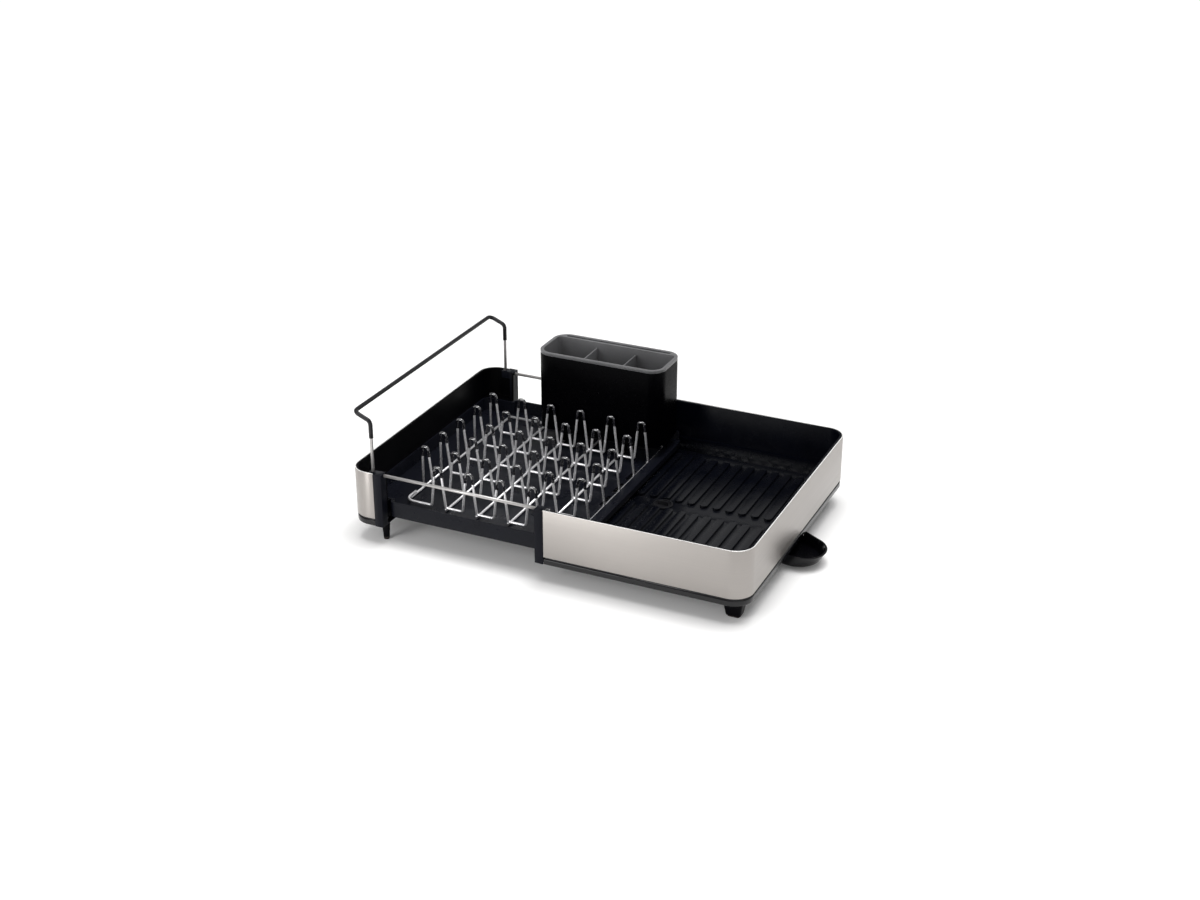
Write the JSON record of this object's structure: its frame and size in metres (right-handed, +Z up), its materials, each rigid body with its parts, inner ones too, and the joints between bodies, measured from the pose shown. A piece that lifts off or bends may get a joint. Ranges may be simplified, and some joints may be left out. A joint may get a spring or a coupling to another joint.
{
  "type": "expandable dish rack",
  "caption": "Countertop dish rack with a sliding drain tray that pulls out to the side, a lift-out wire plate rack, a cutlery caddy, a side rail and a swivel spout.",
  "frame": {"origin": "middle of the rack's overall width and depth, spout included, on the surface it stands on, with the tray pulled out", "axes": "+X from the fixed end towards the sliding tray, +Y from the front to the back, +Z up"},
  "size_m": [0.566, 0.37, 0.1782],
  "materials": {
    "black_plastic": "satin black",
    "post_plastic": "satin dark grey",
    "trim_plastic": "glossy dark grey",
    "caddy_plastic": "matt black",
    "liner_plastic": "satin grey",
    "steel_band": "brushed along the band",
    "screw_steel": "plain",
    "chrome_wire": "polished",
    "black_coating": "satin rubber",
    "plug_rubber": "satin rubber",
    "foot_rubber": "matt rubber",
    "nylon": "waxy"
  },
  "bodies": {
    "main_unit": {"left_base": "trim_plastic", "left_shell": "black_plastic", "left_steel_band": "steel_band", "front_left_post": "post_plastic", "back_left_post": "post_plastic", "front_left_foot": "black_plastic", "back_left_foot": "black_plastic", "left_foot_tips": "foot_rubber", "left_base_screws": "screw_steel", "left_foot_screws": "screw_steel", "main_tray": "black_plastic", "tray_glides": "nylon", "front_guide_rod": "chrome_wire", "back_guide_rod": "chrome_wire", "guide_rod_stops": "black_coating", "side_rail": "chrome_wire", "side_rail_sleeve": "black_coating"},
    "sliding_unit": {"sliding_tray": "black_plastic", "sliding_steel_band": "steel_band", "sliding_base_trim": "trim_plastic", "front_tray_post": "post_plastic", "back_tray_post": "post_plastic", "front_right_foot": "black_plastic", "back_right_foot": "black_plastic", "right_foot_pads": "foot_rubber", "right_foot_screws": "screw_steel", "drain_gutter": "black_plastic", "gutter_screws": "screw_steel", "spout_retaining_ring": "black_plastic"},
    "plate_rack": {"rack_row_wire_1": "chrome_wire", "rack_row_wire_2": "chrome_wire", "rack_row_wire_3": "chrome_wire", "rack_row_wire_4": "chrome_wire", "rack_row_wire_5": "chrome_wire", "rack_row_wire_6": "chrome_wire", "prong_tips_row_1": "black_coating", "prong_tips_row_2": "black_coating", "prong_tips_row_3": "black_coating", "prong_tips_row_4": "black_coating", "prong_tips_row_5": "black_coating", "prong_tips_row_6": "black_coating", "rack_runner_wires": "chrome_wire", "rack_back_wire": "chrome_wire"},
    "cutlery_caddy": {"caddy_body": "caddy_plastic", "caddy_liner": "liner_plastic", "caddy_dividers": "liner_plastic"},
    "spout": {"drain_spout": "black_plastic"},
    "plug": {"drain_plug": "plug_rubber"}
  },
  "joints": [
    {"name": "tray_slide", "type": "slide", "parent": "main_unit", "child": "sliding_unit", "axis": [1, 0, 0], "range_m": [-0.21, 0]},
    {"name": "spout_swivel", "type": "hinge", "parent": "sliding_unit", "child": "spout", "pos_m": [0.209, 0.0145, 0.012], "axis": [0, 0, 1], "range_deg": [-60, 110]},
    {"name": "plug_lift", "type": "slide", "parent": "sliding_unit", "child": "plug", "axis": [0, 0, 1], "range_m": [0, 0.03]},
    {"name": "rack_lift", "type": "slide", "parent": "main_unit", "child": "plate_rack", "axis": [0, 0, 1], "range_m": [0, 0.12]},
    {"name": "caddy_lift", "type": "slide", "parent": "plate_rack", "child": "cutlery_caddy", "axis": [0, 0, 1], "range_m": [0, 0.15]}
  ]
}
